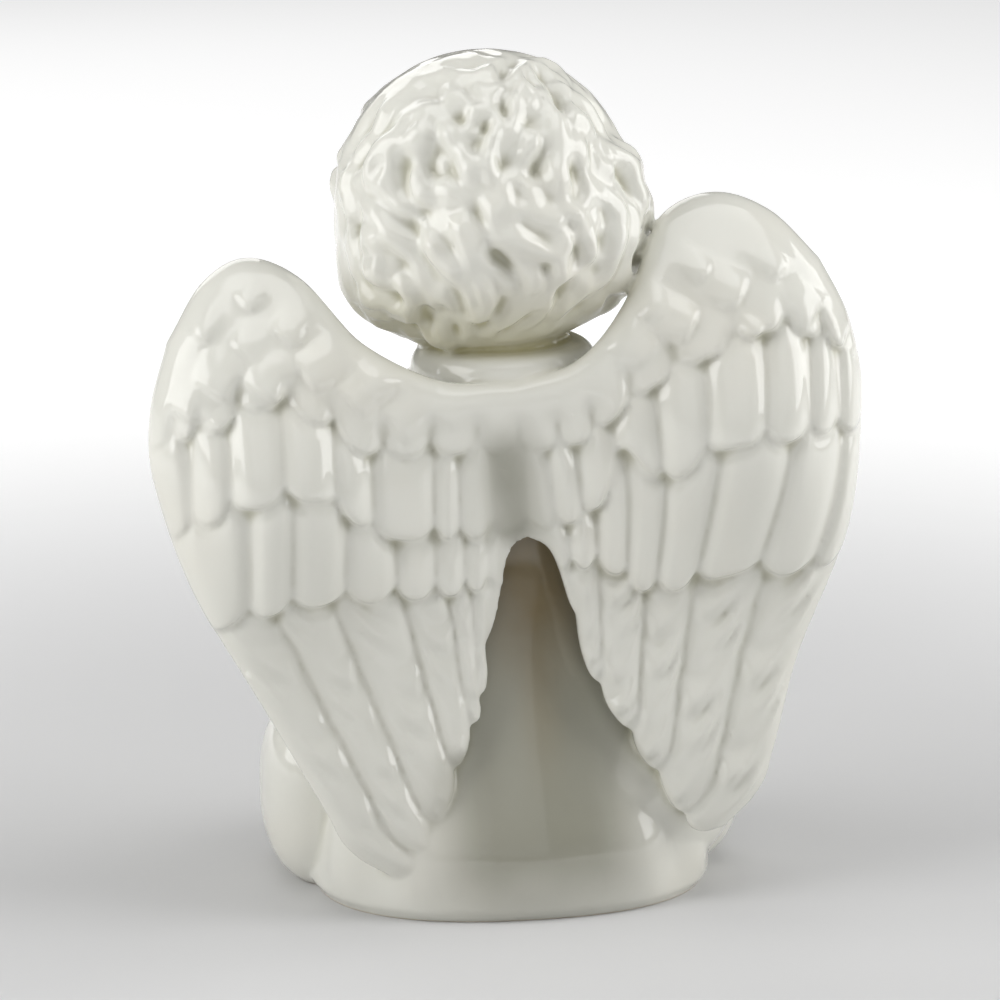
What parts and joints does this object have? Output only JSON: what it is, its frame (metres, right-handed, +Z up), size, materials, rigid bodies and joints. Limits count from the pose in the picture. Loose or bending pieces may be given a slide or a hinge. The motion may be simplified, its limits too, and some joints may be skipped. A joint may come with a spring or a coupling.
{
  "type": "ceramic angel figurine",
  "caption": "White glazed ceramic figurine of a seated child angel in a long robe, with curly hair, joined hands and large feathered wings; stands on its flat base.",
  "frame": {"origin": "middle of the flat underside", "axes": "+Z up; the figure faces -Y and its left hand side is +X"},
  "size_m": [0.1369, 0.0819, 0.1625],
  "materials": {
    "glaze": "clear gloss glaze over a white body, pooled to cream in the hollows"
  },
  "bodies": {
    "root": {"angel_figurine": "glaze"}
  },
  "joints": []
}
